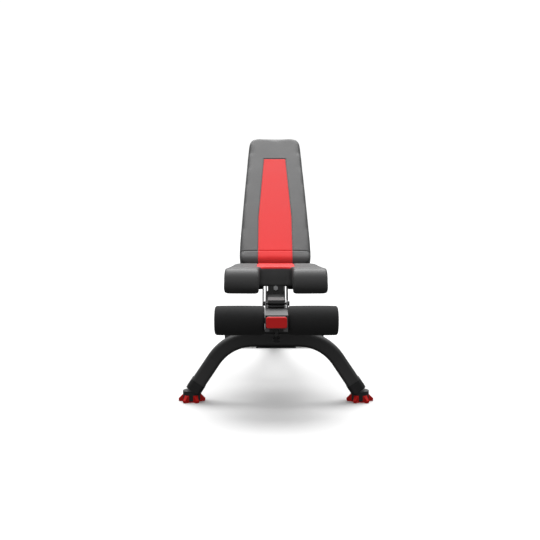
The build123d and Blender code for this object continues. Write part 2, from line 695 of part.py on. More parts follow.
with BuildPart() as wheel_bolts:
    for side_x in (-WHEEL_X, WHEEL_X):
        reach = fork_x + PLATE
        with BuildSketch(Plane.YZ.offset(side_x - reach)):
            with Locations((wheel_y, WHEEL_Z)):
                Circle(WHEEL_BOLT_R)
        extrude(amount=2 * reach)
        for offset, amount in ((reach, BOLT_HEAD), (-reach, -BOLT_HEAD)):
            with BuildSketch(Plane.YZ.offset(side_x + offset)):
                with Locations((wheel_y, WHEEL_Z)):
                    RegularPolygon(2 * WHEEL_BOLT_R, 6)
            extrude(amount=amount)
wheel_bolts.part.label = "wheel_bolts"
export_step(wheel_bolts.part, "parts/wheel_bolts.step")

for side, sign in SIDES:
    wheel_low = Plane.YZ.offset(sign * WHEEL_X - WHEEL_WIDTH / 2)
    with BuildPart() as wheel_hub:
        with BuildSketch(wheel_low):
            with Locations((wheel_y, WHEEL_Z)):
                Circle(WHEEL_HUB_R)
                Circle(WHEEL_BOLT_R + RUN_FIT, mode=Mode.SUBTRACT)
        extrude(amount=WHEEL_WIDTH)
    wheel_hub.part.label = f"wheel_hub_{side}"
    export_step(wheel_hub.part, f"parts/wheel_hub_{side}.step")

    with BuildPart() as tyre:
        with BuildSketch(wheel_low):
            with Locations((wheel_y, WHEEL_Z)):
                Circle(WHEEL_R)
                Circle(WHEEL_HUB_R, mode=Mode.SUBTRACT)
        extrude(amount=WHEEL_WIDTH)
        fillet(tyre.edges().filter_by(GeomType.CIRCLE).group_by(SortBy.RADIUS)[-1], radius=TYRE_EDGE)
    tyre.part.label = f"wheel_tyre_{side}"
    export_step(tyre.part, f"parts/wheel_tyre_{side}.step")

# ---------------------------------------------------------------- seat
seat_front_y = fore(SEAT_FRONT_REACH)
seat_rear_y = fore(SEAT_REAR_REACH)
roll_y = seat_front_y + ROLL_R
notch_y = fore(NOTCH_REACH)
board_top = SEAT_TOP - SEAT_FOAM
board_under = board_top - SEAT_BOARD
board_front_y = roll_y + ROLL_R
with BuildPart() as seat_board:
    with BuildSketch(Plane.XY.offset(board_under)) as board_outline:
        with BuildLine():
            Polyline(
                (-SEAT_FRONT_HALF + BOARD_INSET, board_front_y),
                (SEAT_FRONT_HALF - BOARD_INSET, board_front_y),
                (SEAT_REAR_HALF - BOARD_INSET, seat_rear_y - BOARD_INSET),
                (BOARD_INSET - SEAT_REAR_HALF, seat_rear_y - BOARD_INSET),
                close=True,
            )
        make_face()
        fillet(board_outline.vertices().group_by(Axis.Y)[-1], radius=SEAT_CORNER - BOARD_INSET)
        with BuildLine():
            Polyline(
                (-NOTCH_HALF - BOARD_INSET, board_front_y - 1),
                (-NOTCH_HALF - BOARD_INSET, notch_y + BOARD_INSET),
                (NOTCH_HALF + BOARD_INSET, notch_y + BOARD_INSET),
                (NOTCH_HALF + BOARD_INSET, board_front_y - 1),
                close=True,
            )
        make_face(mode=Mode.SUBTRACT)
    extrude(amount=SEAT_BOARD)
seat_board.part.label = "seat_board"
export_step(seat_board.part, "parts/seat_board.step")

with BuildPart() as seat_foam:
    with BuildSketch(Plane.XY.offset(board_under)) as seat_outline:
        with BuildLine():
            Polyline(
                (-SEAT_FRONT_HALF, roll_y),
                (SEAT_FRONT_HALF, roll_y),
                (SEAT_REAR_HALF, seat_rear_y),
                (-SEAT_REAR_HALF, seat_rear_y),
                close=True,
            )
        make_face()
        fillet(seat_outline.vertices().group_by(Axis.Y)[-1], radius=SEAT_CORNER)
    extrude(amount=SEAT_FOAM + SEAT_BOARD)
    with BuildSketch(Plane.YZ):
        with Locations((roll_y, SEAT_TOP - ROLL_R)):
            Circle(ROLL_R)
    extrude(amount=SEAT_FRONT_HALF, both=True)
    with BuildSketch(Plane.XY.offset(SEAT_TOP - 2 * ROLL_R)) as notch:
        with BuildLine():
            Polyline(
                (-NOTCH_HALF, seat_front_y - 1),
                (-NOTCH_HALF, notch_y),
                (NOTCH_HALF, notch_y),
                (NOTCH_HALF, seat_front_y - 1),
                close=True,
            )
        make_face()
        fillet(notch.vertices().group_by(Axis.Y)[-1], radius=NOTCH_CORNER)
    extrude(amount=3 * ROLL_R, mode=Mode.SUBTRACT)
    add(seat_board.part, mode=Mode.SUBTRACT)
seat_foam.part.label = "seat_foam"
export_step(seat_foam.part, "parts/seat_foam.step")

bracket_front = fore(BRACKET_FRONT_REACH)
bracket_rear = fore(BRACKET_REAR_REACH)
seat_screw_rows = (bracket_front + BRACKET_STRAP, bracket_rear - BRACKET_STRAP)
bracket_bolt_z = board_under - BRACKET_BOLT_DROP
with BuildPart() as seat_bracket:
    with BuildSketch(Plane.YZ):
        with BuildLine():
            Polyline(
                (bracket_front, beam_top_z(bracket_front)),
                (bracket_front, board_under),
                (bracket_rear, board_under),
                (bracket_rear, beam_top_z(bracket_rear)),
                (bracket_rear - PLATE, beam_top_z(bracket_rear - PLATE)),
                (bracket_rear - PLATE, board_under - PLATE),
                (bracket_front + PLATE, board_under - PLATE),
                (bracket_front + PLATE, beam_top_z(bracket_front + PLATE)),
                close=True,
            )
        make_face()
    extrude(amount=BRACKET_WIDTH / 2, both=True)
    with BuildSketch(Plane.XY.offset(board_under - PLATE)):
        for y in seat_screw_rows:
            with Locations((0, y)):
                SlotOverall(2 * (SEAT_SCREW_X + BRACKET_STRAP_END), BRACKET_STRAP)
    extrude(amount=PLATE)
    with BuildSketch(Plane.XY.offset(board_under - PLATE)):
        for y in seat_screw_rows:
            with Locations((-SEAT_SCREW_X, y), (SEAT_SCREW_X, y)):
                Circle(M8_R)
    extrude(amount=PLATE, mode=Mode.SUBTRACT)
    with BuildSketch(Plane.XZ.offset(-bracket_front)):
        with Locations((0, bracket_bolt_z)):
            Circle(M10_R)
    extrude(amount=-PLATE, mode=Mode.SUBTRACT)
seat_bracket.part.label = "seat_bracket"
export_step(seat_bracket.part, "parts/seat_bracket.step")

with BuildPart() as seat_screws:
    for x in (-SEAT_SCREW_X, SEAT_SCREW_X):
        for y in seat_screw_rows:
            add(hex_bolt(Plane((x, y, board_under - PLATE), z_dir=(0, 0, -1)), M8_R, PLATE))
seat_screws.part.label = "seat_screws"
export_step(seat_screws.part, "parts/seat_screws.step")

with BuildPart() as bracket_bolt:
    add(hex_bolt(Plane((0, bracket_front, bracket_bolt_z), z_dir=(0, -1, 0)), M10_R, PLATE))
bracket_bolt.part.label = "bracket_bolt"
export_step(bracket_bolt.part, "parts/bracket_bolt.step")

# ---------------------------------------------------------------- back hinge and lock, frame side
hinge_u, hinge_n = on_plane(tail_side, HINGE_Y, HINGE_Z)
lock_dy, lock_dz = polar(SECTOR_HOLE_R, LOCK_ANGLE)
lock_y = HINGE_Y + lock_dy
lock_z = HINGE_Z + lock_dz
lock_u, lock_n = on_plane(tail_side, lock_y, lock_z)
plate_x = BEAM_WIDTH / 2
with BuildPart() as hinge_plates:
    for x in (-plate_x - HINGE_PLATE, plate_x):
        with BuildSketch(tail_side.offset(x)):
            with Locations((hinge_u, hinge_n)):
                Circle(HUB_R)
            with Locations((lock_u, lock_n)):
                Circle(LOCK_HOUSING_R + LOCK_RIM)
            with Locations((hinge_u - HINGE_PLATE_FOOT, 0)):
                Circle(BEAM_HEIGHT / 2 - WALL)
            make_hull()
            with Locations((hinge_u, hinge_n)):
                Circle(HINGE_R, mode=Mode.SUBTRACT)
            with Locations((lock_u, lock_n)):
                Circle(LOCK_PIN_R + LOCK_HOLE_SLACK, mode=Mode.SUBTRACT)
        extrude(amount=HINGE_PLATE)
hinge_plates.part.label = "hinge_plates"
export_step(hinge_plates.part, "parts/hinge_plates.step")

rail_outer_x = RAIL_INNER_X + RAIL_WIDTH
shaft_half = rail_outer_x + GAP + WASHER
with BuildPart() as hinge_shaft:
    with BuildSketch(Plane.YZ.offset(-shaft_half)):
        with Locations((HINGE_Y, HINGE_Z)):
            Circle(HINGE_R)
    extrude(amount=2 * shaft_half)
    for sign in (-1, 1):
        with BuildSketch(Plane.YZ.offset(sign * shaft_half)):
            with Locations((HINGE_Y, HINGE_Z)):
                RegularPolygon(HINGE_R * 1.7, 6)
        extrude(amount=sign * HINGE_R)
        with BuildSketch(Plane.YZ.offset(sign * (rail_outer_x + GAP))):
            with Locations((HINGE_Y, HINGE_Z)):
                Circle(HINGE_R * 1.8)
        extrude(amount=sign * WASHER)
hinge_shaft.part.label = "hinge_shaft"
export_step(hinge_shaft.part, "parts/hinge_shaft.step")

sector_x = RAIL_INNER_X - PLATE
with BuildPart() as hinge_spacers:
    for sign in (-1, 1):
        with BuildSketch(Plane.YZ.offset(sign * (plate_x + HINGE_PLATE))):
            with Locations((HINGE_Y, HINGE_Z)):
                Circle(HINGE_R + SPACER_WALL)
                Circle(HINGE_R, mode=Mode.SUBTRACT)
        extrude(amount=sign * (sector_x - GAP - plate_x - HINGE_PLATE))
hinge_spacers.part.label = "hinge_spacers"
export_step(hinge_spacers.part, "parts/hinge_spacers.step")

sector_r = SECTOR_HOLE_R + SECTOR_EDGE
# where a strip level with the lock pin has left the sector's rim behind
strip_half = LOCK_HOUSING_R + LOCK_RIM
strip_top = lock_n + strip_half
web_u = hinge_u + sqrt(sector_r**2 - (hinge_n - strip_top) ** 2) + 2 * LOCK_RIM
with BuildPart() as lock_bracket:
    with BuildSketch(tail_side.offset(LOCK_FLANGE_X)):
        with Locations((lock_u, lock_n)):
            Circle(strip_half)
        with Locations(((lock_u + web_u) / 2, lock_n)):
            Rectangle(web_u - lock_u, 2 * strip_half)
        with Locations((lock_u, lock_n)):
            Circle(LOCK_PIN_R + RUN_FIT, mode=Mode.SUBTRACT)
    extrude(amount=PLATE)
    with BuildSketch(tail_side.offset(plate_x)):
        with Locations((web_u + PLATE / 2, lock_n)):
            Rectangle(PLATE, 2 * strip_half)
    extrude(amount=LOCK_FLANGE_X + PLATE - plate_x)
    with BuildSketch(tail_side.offset(plate_x)):
        with Locations((web_u + LOCK_FOOT / 2, -BEAM_HEIGHT / 4)):
            Rectangle(LOCK_FOOT, BEAM_HEIGHT / 2)
    extrude(amount=PLATE)
lock_bracket.part.label = "lock_bracket"
export_step(lock_bracket.part, "parts/lock_bracket.step")

housing_x = LOCK_FLANGE_X + PLATE
with BuildPart() as lock_housing:
    with BuildSketch(Plane.YZ.offset(housing_x)):
        with Locations((lock_y, lock_z)):
            RegularPolygon(LOCK_HOUSING_R, 6)
            Circle(LOCK_PIN_R + RUN_FIT, mode=Mode.SUBTRACT)
    extrude(amount=LOCK_HOUSING / 3)
    with BuildSketch(Plane.YZ.offset(housing_x + LOCK_HOUSING / 3)):
        with Locations((lock_y, lock_z)):
            Circle(LOCK_HOUSING_R - 1)
            Circle(LOCK_PIN_R + RUN_FIT, mode=Mode.SUBTRACT)
    extrude(amount=LOCK_HOUSING * 2 / 3)
lock_housing.part.label = "lock_housing"
export_step(lock_housing.part, "parts/lock_housing.step")

tip_x = RAIL_INNER_X + LOCK_TIP_BACK
knob_x = housing_x + LOCK_HOUSING + GAP + LOCK_TRAVEL
with BuildPart() as lock_pin:
    with BuildSketch(Plane.YZ.offset(tip_x)):
        with Locations((lock_y, lock_z)):
            Circle(LOCK_PIN_R)
    extrude(amount=knob_x + KNOB_LENGTH / 2 - tip_x)
lock_pin.part.label = "lock_pin"
export_step(lock_pin.part, "parts/lock_pin.step")

with BuildPart() as lock_knob:
    with BuildSketch(Plane.YZ.offset(knob_x)):
        with Locations((lock_y, lock_z)):
            Circle(KNOB_R * 0.65)
            Circle(LOCK_PIN_R, mode=Mode.SUBTRACT)
    extrude(amount=KNOB_LENGTH / 3)
    with BuildSketch(Plane.YZ.offset(knob_x + KNOB_LENGTH / 3)):
        with Locations((lock_y, lock_z)):
            Circle(KNOB_R)
    extrude(amount=KNOB_LENGTH * 2 / 3)
    fillet(lock_knob.edges().filter_by(GeomType.CIRCLE).sort_by(Axis.X)[-1], radius=4)
    with BuildSketch(Plane.YZ.offset(knob_x)):
        with Locations((lock_y, lock_z)):
            Circle(LOCK_PIN_R)
    extrude(amount=KNOB_LENGTH / 2, mode=Mode.SUBTRACT)
lock_knob.part.label = "lock_knob"
export_step(lock_knob.part, "parts/lock_knob.step")

# ---------------------------------------------------------------- back, everything that reclines
back_board_v = BACK_FACE - BACK_FOAM - BACK_BOARD
rail_top_v = RAIL_HEIGHT - RAIL_DROP
cross_v = back_board_v - PLATE


def pad_plane(v):
    """Plane parallel to the pad's face, its numbers X and distance up the pad."""
    return Plane(back_side.from_local_coords((0, v, 0)), x_dir=(1, 0, 0), z_dir=back_side.y_dir)


def pad_outline(inset):
    """Closed outline of the back pad, drawn in by the inset."""
    low = BACK_START + inset
    top = BACK_START + BACK_LENGTH - inset
    bend = BACK_START + BACK_STRAIGHT
    middle = (bend + top) / 2
    with BuildSketch() as outline:
        with BuildLine():
            Line((inset - BACK_LOW_HALF, bend), (inset - BACK_LOW_HALF, low))
            Line((inset - BACK_LOW_HALF, low), (BACK_LOW_HALF - inset, low))
            Line((BACK_LOW_HALF - inset, low), (BACK_LOW_HALF - inset, bend))
            ThreePointArc(
                (BACK_LOW_HALF - inset, bend), (BACK_MID_HALF - inset, middle), (BACK_TOP_HALF - inset, top)
            )
            Line((BACK_TOP_HALF - inset, top), (inset - BACK_TOP_HALF, top))
            ThreePointArc(
                (inset - BACK_TOP_HALF, top), (inset - BACK_MID_HALF, middle), (inset - BACK_LOW_HALF, bend)
            )
        make_face()
        fillet(outline.vertices().group_by(Axis.Y)[-1], radius=BACK_TOP_CORNER - inset)
        fillet(outline.vertices().group_by(Axis.Y)[0], radius=BACK_LOW_CORNER - inset)
    return outline.sketch


with BuildPart() as back_board:
    with BuildSketch(pad_plane(back_board_v)):
        add(pad_outline(BOARD_INSET))
    extrude(amount=BACK_BOARD)
back_board.part.label = "back_board"
export_step(back_board.part, "parts/back_board.step")

with BuildPart() as back_foam:
    with BuildSketch(pad_plane(back_board_v)):
        add(pad_outline(0))
    extrude(amount=BACK_FOAM + BACK_BOARD)
    with BuildSketch(back_side):
        with Locations((BACK_START + BACK_ROLL / 2, BACK_FACE - BACK_ROLL / 2)):
            Rectangle(BACK_ROLL, BACK_ROLL)
        with Locations((BACK_START + BACK_ROLL, BACK_FACE - BACK_ROLL)):
            Circle(BACK_ROLL, mode=Mode.SUBTRACT)
    extrude(amount=BACK_LOW_HALF, both=True, mode=Mode.SUBTRACT)
    add(back_board.part, mode=Mode.SUBTRACT)
back_foam.part.label = "back_foam"
export_step(back_foam.part, "parts/back_foam.step")

rail_v = (rail_top_v - RAIL_DROP) / 2
with BuildPart() as back_rails:
    for sign in (-1, 1):
        rail_x = sign * (RAIL_INNER_X + RAIL_WIDTH / 2)
        rail_end = Plane(
            back_side.from_local_coords((RAIL_START, rail_v, rail_x)), x_dir=(1, 0, 0), z_dir=back_side.x_dir
        )
        with BuildSketch(rail_end):
            RectangleRounded(RAIL_WIDTH, RAIL_HEIGHT, RAIL_CORNER)
            RectangleRounded(
                RAIL_WIDTH - 2 * WALL, RAIL_HEIGHT - 2 * WALL, RAIL_CORNER - WALL, mode=Mode.SUBTRACT
            )
        extrude(amount=RAIL_REACH - RAIL_START)
    with BuildSketch(back_side):
        Circle(HINGE_R + RUN_FIT + BUSH_WALL)
    extrude(amount=rail_outer_x, both=True, mode=Mode.SUBTRACT)
back_rails.part.label = "back_rails"
export_step(back_rails.part, "parts/back_rails.step")

with BuildPart() as hinge_bushes:
    for sign in (-1, 1):
        with BuildSketch(Plane.YZ.offset(sign * sector_x)):
            with Locations((HINGE_Y, HINGE_Z)):
                Circle(HINGE_R + RUN_FIT + BUSH_WALL)
                Circle(HINGE_R + RUN_FIT, mode=Mode.SUBTRACT)
        extrude(amount=sign * (PLATE + RAIL_WIDTH))
hinge_bushes.part.label = "hinge_bushes"
export_step(hinge_bushes.part, "parts/hinge_bushes.step")

first = LOCK_ANGLE - max(BACK_ANGLES) - SECTOR_MARGIN
last = LOCK_ANGLE - min(BACK_ANGLES) + SECTOR_MARGIN
window_r = SECTOR_HOLE_R - 2 * SECTOR_EDGE
wide_first = first + WINDOW_SPOKE
wide_last = last - WINDOW_SPOKE
narrow_sweep = wide_first - wide_last + 2 * WINDOW_TAPER
with BuildPart() as sector_plates:
    for x in (-RAIL_INNER_X, sector_x):
        with BuildSketch(back_side.offset(x)):
            with BuildLine():
                Line((0, 0), polar(sector_r, first))
                CenterArc((0, 0), sector_r, first, last - first)
                Line(polar(sector_r, last), (0, 0))
            make_face()
            Circle(HUB_R)
            Circle(HINGE_R + RUN_FIT + BUSH_WALL, mode=Mode.SUBTRACT)
            with BuildLine():
                CenterArc((0, 0), window_r, wide_first, wide_last - wide_first)
                Line(polar(window_r, wide_last), polar(2 * HUB_R, wide_last - WINDOW_TAPER))
                CenterArc((0, 0), 2 * HUB_R, wide_last - WINDOW_TAPER, narrow_sweep)
                Line(polar(2 * HUB_R, wide_first + WINDOW_TAPER), polar(window_r, wide_first))
            make_face(mode=Mode.SUBTRACT)
            with Locations(*[polar(SECTOR_HOLE_R, LOCK_ANGLE - angle) for angle in BACK_ANGLES]):
                Circle(LOCK_PIN_R + LOCK_HOLE_SLACK, mode=Mode.SUBTRACT)
        extrude(amount=PLATE)
sector_plates.part.label = "sector_plates"
export_step(sector_plates.part, "parts/sector_plates.step")

with BuildPart() as back_cross_plates:
    for place in CROSS_PLACES:
        with BuildSketch(pad_plane(cross_v)):
            with Locations((0, place)):
                RectangleRounded(2 * CROSS_HALF, CROSS_WIDTH, CROSS_CORNER)
            with Locations((-CROSS_SCREW_X, place), (CROSS_SCREW_X, place)):
                Circle(M8_R, mode=Mode.SUBTRACT)
        extrude(amount=PLATE)
back_cross_plates.part.label = "back_cross_plates"
export_step(back_cross_plates.part, "parts/back_cross_plates.step")

with BuildPart() as back_screws:
    for place in CROSS_PLACES:
        for x in (-CROSS_SCREW_X, CROSS_SCREW_X):
            seat = pad_plane(cross_v)
            add(hex_bolt(Plane(seat.from_local_coords((x, place, 0)), z_dir=-seat.z_dir), M8_R, PLATE))
back_screws.part.label = "back_screws"
export_step(back_screws.part, "parts/back_screws.step")

spreader_bore = SPREADER_SIZE - 2 * SPREADER_WALL
with BuildPart() as rail_spreader:
    with BuildSketch(back_side):
        with Locations((SPREADER_PLACE, rail_v)):
            RectangleRounded(SPREADER_SIZE, SPREADER_SIZE, 2 * SPREADER_WALL)
            RectangleRounded(spreader_bore, spreader_bore, SPREADER_WALL, mode=Mode.SUBTRACT)
    extrude(amount=RAIL_INNER_X, both=True)
rail_spreader.part.label = "rail_spreader"
export_step(rail_spreader.part, "parts/rail_spreader.step")
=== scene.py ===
"""Finishes, upholstery, light and camera for the adjustable weight bench. Metres, +Z up, nose at -Y."""
import json
from math import cos, pi, radians, sin

import bmesh
import bpy
import numpy as np
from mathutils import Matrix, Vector


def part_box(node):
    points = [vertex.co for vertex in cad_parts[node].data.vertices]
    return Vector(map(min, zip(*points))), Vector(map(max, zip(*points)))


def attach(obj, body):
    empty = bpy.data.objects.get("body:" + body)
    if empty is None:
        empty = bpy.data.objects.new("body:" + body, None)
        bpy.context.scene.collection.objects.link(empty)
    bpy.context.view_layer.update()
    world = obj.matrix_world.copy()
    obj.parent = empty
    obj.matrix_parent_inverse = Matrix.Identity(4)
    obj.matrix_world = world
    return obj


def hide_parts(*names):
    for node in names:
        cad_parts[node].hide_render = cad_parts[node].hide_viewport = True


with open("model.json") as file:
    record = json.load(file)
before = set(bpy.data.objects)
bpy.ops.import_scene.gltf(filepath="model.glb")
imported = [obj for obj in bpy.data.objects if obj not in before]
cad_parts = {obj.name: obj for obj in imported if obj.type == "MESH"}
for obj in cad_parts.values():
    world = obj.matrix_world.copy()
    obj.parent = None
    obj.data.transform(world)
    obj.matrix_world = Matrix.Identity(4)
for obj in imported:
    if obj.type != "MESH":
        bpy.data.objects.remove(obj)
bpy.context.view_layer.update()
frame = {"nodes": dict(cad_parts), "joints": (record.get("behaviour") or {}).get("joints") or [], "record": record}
scene = bpy.context.scene
nodes = frame["nodes"]


# ---------------------------------------------------------------- shader helpers
class Num:
    """A number that varies over a surface, with arithmetic."""

    def __init__(self, finish, socket):
        self.finish = finish
        self.socket = socket

    def math(self, operation, *values, **settings):
        """One Math node on this number and the others."""
        settings["operation"] = operation
        made = self.finish.node("ShaderNodeMath", settings, dict(enumerate(values)))
        return Num(self.finish, made.outputs[0])

    def __add__(self, other):
        return self.math("ADD", self, other)

    __radd__ = __add__

    def __sub__(self, other):
        return self.math("SUBTRACT", self, other)

    def __rsub__(self, other):
        return self.math("SUBTRACT", other, self)

    def __mul__(self, other):
        return self.math("MULTIPLY", self, other)

    __rmul__ = __mul__

    def clamped(self):
        """The number held between 0 and 1."""
        return self.math("ADD", self, 0.0, use_clamp=True)


class Finish:
    """A material on one Principled shader; constants are given as socket names with underscores."""

    def __init__(self, name, **constants):
        self.material = bpy.data.materials.new(name)
        self.material.use_nodes = True
        self.tree = self.material.node_tree
        self.shader = self.tree.nodes["Principled BSDF"]
        for socket, value in constants.items():
            self.shader.inputs[socket.replace("_", " ")].default_value = value

    def feed(self, socket, value):
        """Links a Num or a socket, or sets a plain value."""
        if isinstance(value, Num):
            value = value.socket
        if isinstance(value, bpy.types.NodeSocket):
            self.tree.links.new(value, socket)
        else:
            socket.default_value = value

    def node(self, kind, settings=None, inputs=None):
        """Adds a node, first its settings, then its inputs."""
        made = self.tree.nodes.new(kind)
        for name, value in (settings or {}).items():
            setattr(made, name, value)
        for key, value in (inputs or {}).items():
            self.feed(made.inputs[key], value)
        return made

    def place(self):
        """Coordinates that stay with the piece, in metres."""
        return self.node("ShaderNodeTexCoord").outputs["Object"]

    def stretched(self, scale):
        """The same coordinates, scaled along each axis."""
        made = self.node("ShaderNodeMapping", {}, {"Vector": self.place(), "Scale": scale})
        return made.outputs["Vector"]

    def noise(self, scale, detail=3.0, roughness=0.55, where=None):
        """Soft noise from 0 to 1."""
        inputs = {
            "Vector": where or self.place(), "Scale": scale, "Detail": detail, "Roughness": roughness
        }
        return Num(self, self.node("ShaderNodeTexNoise", {}, inputs).outputs[0])

    def cells(self, scale, feature="F1", where=None):
        """Distance pattern of packed cells."""
        inputs = {"Vector": where or self.place(), "Scale": scale}
        made = self.node("ShaderNodeTexVoronoi", {"feature": feature}, inputs)
        return Num(self, made.outputs["Distance"])

    def between(self, factor, low, high):
        """Colour from low to high by a factor."""
        made = self.node(
            "ShaderNodeMix", {"data_type": "RGBA"}, {0: factor, 6: (*low, 1.0), 7: (*high, 1.0)}
        )
        return made.outputs[2]

    def bumped(self, height, distance, strength=1.0):
        """Feeds a height, in metres when multiplied by distance, to the shader's normal."""
        inputs = {"Height": height, "Distance": distance, "Strength": strength}
        self.feed(self.shader.inputs["Normal"], self.node("ShaderNodeBump", {}, inputs).outputs[0])

    def colour(self, value):
        self.feed(self.shader.inputs["Base Color"], value)

    def rough(self, value):
        self.feed(self.shader.inputs["Roughness"], value)


# ---------------------------------------------------------------- finishes
def vinyl(name, low, high, gloss):
    """Upholstery vinyl with a pebbled leather grain and faint handling marks."""
    finish = Finish(name, IOR=1.5, Specular_IOR_Level=gloss)
    pebbles = finish.cells(900.0, "SMOOTH_F1")
    creases = finish.cells(520.0, "DISTANCE_TO_EDGE")
    grain = pebbles * 0.7 + creases * 0.6
    patches = finish.noise(9.0, 4.0)
    finish.colour(finish.between(patches * 0.7 + grain * 0.3, low, high))
    finish.rough(0.42 + patches * 0.12 + pebbles * 0.1)
    finish.bumped(grain, 0.00022, 0.8)
    return finish.material


def foam():
    """Closed-cell foam sleeve, matte with tiny pores."""
    finish = Finish("foam_black", IOR=1.3, Sheen_Weight=0.05, Sheen_Roughness=0.6)
    pores = finish.cells(1500.0)
    patches = finish.noise(14.0, 5.0)
    finish.colour(finish.between(patches, (0.018, 0.018, 0.018), (0.03, 0.03, 0.031)))
    finish.rough(0.82 + pores * 0.1)
    finish.bumped(pores + finish.noise(160.0, 4.0) * 0.8, 0.0003, 0.7)
    return finish.material


def powder_coat(name, base, edge, rough):
    """Powder-coated steel with fine orange peel, its convex edges painted lighter as a highlight."""
    finish = Finish(name, IOR=1.5, Coat_Weight=0.08, Coat_Roughness=0.3)
    peel = finish.noise(700.0, 2.0)
    drift = finish.noise(6.0, 3.0)
    corners = Num(finish, finish.node("ShaderNodeNewGeometry").outputs["Pointiness"])
    # painted highlight: convex corners, found by pointiness, shift towards the lighter edge colour where rounded
    # edges catch the light
    edge_highlight = ((corners - 0.515) * 9.0 * (0.4 + drift)).clamped()
    finish.colour(finish.between(edge_highlight, base, edge))
    finish.rough(rough + drift * 0.12 + peel * 0.05)
    finish.bumped(peel, 0.00009, 0.6)
    return finish.material


def bright_steel():
    """Zinc-plated steel with turned marks."""
    finish = Finish("steel_bright", Metallic=1.0)
    marks = finish.noise(260.0, 4.0, 0.6, finish.stretched((6.0, 1.0, 1.0)))
    finish.colour(finish.between(marks, (0.4, 0.41, 0.42), (0.66, 0.66, 0.67)))
    finish.rough(0.26 + marks * 0.2)
    finish.bumped(marks, 0.00004, 0.5)
    return finish.material


def moulded(name, low, high, rough, grain, coat=0.0, gloss=0.5):
    """Moulded plastic or rubber with a spark-eroded texture."""
    finish = Finish(name, IOR=1.48, Specular_IOR_Level=gloss, Coat_Weight=coat, Coat_Roughness=0.15)
    texture = finish.noise(grain, 3.0, 0.7)
    patches = finish.noise(18.0, 3.0)
    finish.colour(finish.between(patches, low, high))
    finish.rough(rough + texture * 0.12)
    finish.bumped(texture, 0.0001, 0.6)
    return finish.material


def plywood():
    """Birch plywood with long grain."""
    finish = Finish("plywood", IOR=1.45)
    grain = finish.noise(28.0, 6.0, 0.7, finish.stretched((6.0, 1.0, 1.0)))
    finish.colour(finish.between(grain, (0.3, 0.19, 0.1), (0.56, 0.41, 0.25)))
    finish.rough(0.6 + grain * 0.15)
    finish.bumped(grain, 0.0003, 0.5)
    return finish.material


finishes = {
    "vinyl_black": vinyl("vinyl_black", (0.043, 0.043, 0.044), (0.058, 0.058, 0.059), 0.75),
    "vinyl_red": vinyl("vinyl_red", (0.88, 0.028, 0.03), (0.98, 0.042, 0.042), 0.22),
    "foam_black": foam(),
    "frame_black": powder_coat("frame_black", (0.026, 0.026, 0.0265), (0.055, 0.055, 0.056), 0.5),
    # painted light: brace_grey is the brace's black powder coat made lighter, standing in for the overhead sheen
    # its top face catches
    "brace_grey": powder_coat("brace_grey", (0.06, 0.06, 0.062), (0.16, 0.16, 0.165), 0.5),
    "steel_bright": bright_steel(),
    "plastic_black": moulded("plastic_black", (0.008, 0.008, 0.009), (0.014, 0.014, 0.015), 0.45, 900.0),
    "plastic_red": moulded("plastic_red", (0.86, 0.014, 0.016), (0.95, 0.022, 0.022), 0.3, 600.0, 0.2),
    "rubber_red": moulded("rubber_red", (0.5, 0.004, 0.003), (0.62, 0.008, 0.005), 0.55, 500.0, gloss=0.25),
    "tyre_black": moulded("tyre_black", (0.012, 0.012, 0.012), (0.02, 0.02, 0.02), 0.7, 700.0),
    "plywood": plywood(),
}
for part in frame["record"]["subparts"]:
    cad_mesh = nodes[part["node"]].data
    cad_mesh.materials.clear()
    cad_mesh.materials.append(finishes[part["material_slot"]])


# ---------------------------------------------------------------- places taken from the frame
def middle(node):
    """Middle of a CAD node's box."""
    low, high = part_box(node)
    return (low + high) / 2


seat_low, seat_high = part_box("seat_foam")
feet_y = middle("front_arch").y
hinge = Vector(next(j for j in frame["joints"] if j["name"] == "back_recline")["pos_m"])
REST_ANGLE = radians(45)
up_pad = Vector((0, cos(REST_ANGLE), sin(REST_ANGLE)))
off_pad = Vector((0, -sin(REST_ANGLE), cos(REST_ANGLE)))

STRIP_HALF = 0.0675         # red panel's half width on the seat and the lower back
STRIP_BEND = 0.285          # up the pad, where the panel starts to narrow
STRIP_TOP = 0.650           # up the pad, the panel's upper end
STRIP_TOP_HALF = 0.047
STRIP_SLOPE = (STRIP_HALF - STRIP_TOP_HALF) / (STRIP_TOP - STRIP_BEND)
PAD_FACE = 0.080            # face of the back pad above the hinge line
PAD_THICK = 0.062
PAD_BACK = PAD_FACE - PAD_THICK
PAD_LOW = 0.030             # up the pad from the hinge line, the cushion's lower end
PAD_HIGH = 0.800            # and its upper end
ROLL_SEAM = 0.094           # up the pad, the seam over the rolled lower edge
PANEL_DEEP = 0.036          # how far the panel reaches down from the back pad's face
SEAM_SIDE = 0.026           # the back pad's seams stop this far above the board
SEAM_WIDTH = 0.0022
SEAM_DEPTH = 0.0022
SEAM_PAST = 0.1             # how far a seam line runs on past the cushion's edge
PAD_PAST = 0.2              # past the side of either cushion, measured from the middle
NOTCH_DEEP = 0.110          # from the middle of the front arch to the rear wall of the notch
NOTCH_LIP = 0.003           # how far the seat's panel wraps over that wall
CREST_BACK = 0.036          # stitched line over the crest of the seat's front rolls
CREST_INNER = 0.06
TOP_DEEP = 0.020            # seams on the seat are pressed in this far down from its top
LIP = 0.010                 # height of the red lip in the notch
SAG = Vector((0, 0, 0.002))  # the rolls hang a little below their cores

CUSHION_ROUNDS = 2          # smoothing before the cover is inflated
AFTER_ROUNDS = 10           # and after it
CUSHION_CAP = 0.003         # how far the inflated cover may move
VOXEL = 0.005
SIM_FRAMES = 20
STAPLED = 0.020             # height over which the cover comes free of the board


# ---------------------------------------------------------------- mesh helpers
def new_piece(name, mesh, finish, body):
    """Links a mesh as a piece that rides on a body and takes one finish."""
    piece = bpy.data.objects.new(name, mesh)
    scene.collection.objects.link(piece)
    mesh.materials.clear()
    mesh.materials.append(finishes[finish])
    for face in mesh.polygons:
        face.use_smooth = True
    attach(piece, body)
    return piece


